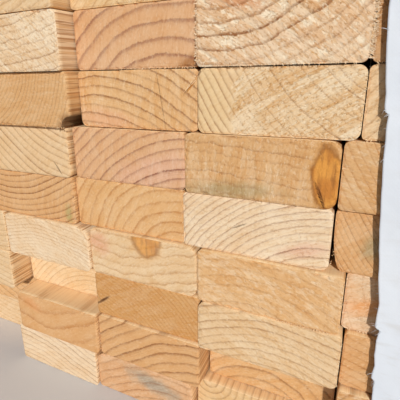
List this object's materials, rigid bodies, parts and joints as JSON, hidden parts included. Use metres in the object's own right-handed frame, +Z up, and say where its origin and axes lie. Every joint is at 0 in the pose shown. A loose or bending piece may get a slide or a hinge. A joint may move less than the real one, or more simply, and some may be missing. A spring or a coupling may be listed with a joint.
{
  "type": "bundle of pine studs",
  "caption": "Stacked bundle of planed pine studs lying flat in layers, cut ends showing, with torn white lumber wrap left over one long side.",
  "frame": {"origin": "middle of the bundle's underside", "axes": "+Y along the studs, away from the pictured front end; +X to the right across that end; +Z up"},
  "size_m": [1.4574, 2.393, 0.4952],
  "materials": {
    "pine": "planed, saw-cut ends",
    "wrap_sheet": "woven sheet"
  },
  "bodies": {
    "root": {"layer_01": "pine", "layer_02": "pine", "layer_03": "pine", "layer_04": "pine", "layer_05": "pine", "layer_06": "pine", "layer_07": "pine", "layer_08": "pine", "layer_09": "pine", "layer_10": "pine", "layer_11": "pine", "layer_12": "pine", "layer_13": "pine", "wrap": "wrap_sheet"}
  },
  "joints": []
}
